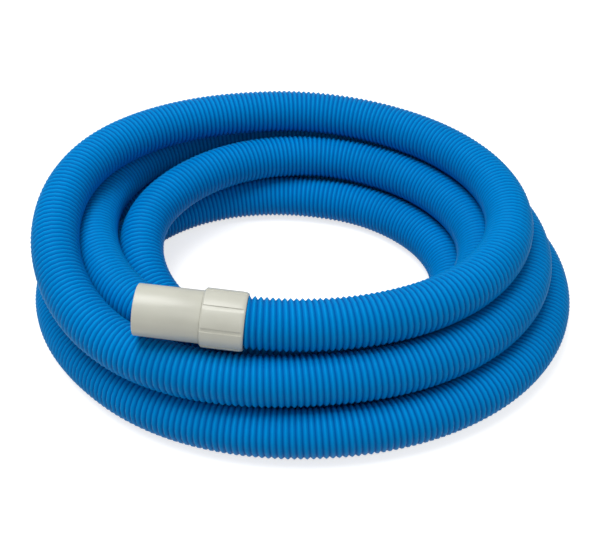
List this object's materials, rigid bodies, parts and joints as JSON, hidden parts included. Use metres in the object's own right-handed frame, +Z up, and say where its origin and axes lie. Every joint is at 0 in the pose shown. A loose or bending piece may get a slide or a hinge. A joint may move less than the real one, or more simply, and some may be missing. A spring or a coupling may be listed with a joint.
{
  "type": "vacuum hose",
  "caption": "Ribbed swimming pool vacuum hose lying in a stacked coil, with a swivel cuff on one end and a fixed cuff on the other.",
  "frame": {"origin": "middle of the coil's box, on the floor that the coil lies on", "axes": "+Z up, +X to the right along the longest extent as one stands before the swivel cuff's side, +Y to the back"},
  "size_m": [0.5409, 0.5219, 0.1419],
  "materials": {
    "hose_blue": "soft EVA plastic, spiral wound and fused, smooth satin-gloss ribs",
    "cuff_ivory": "injection moulded ABS, smooth, satin-gloss",
    "washer_white": "turned acetal, smooth",
    "seal_black": "nitrile rubber, greased"
  },
  "bodies": {
    "coil": {"hose": "hose_blue", "swivel_collar": "cuff_ivory", "slip_washer": "washer_white", "end_cuff": "cuff_ivory"},
    "swivel": {"swivel_sleeve": "cuff_ivory", "oring": "seal_black"}
  },
  "joints": [
    {"name": "cuff_swivel", "type": "hinge", "parent": "coil", "child": "swivel", "pos_m": [-0.0463, -0.19635, 0.1116], "axis": [-0.993, 0.0791, 0.0882], "continuous": true}
  ]
}
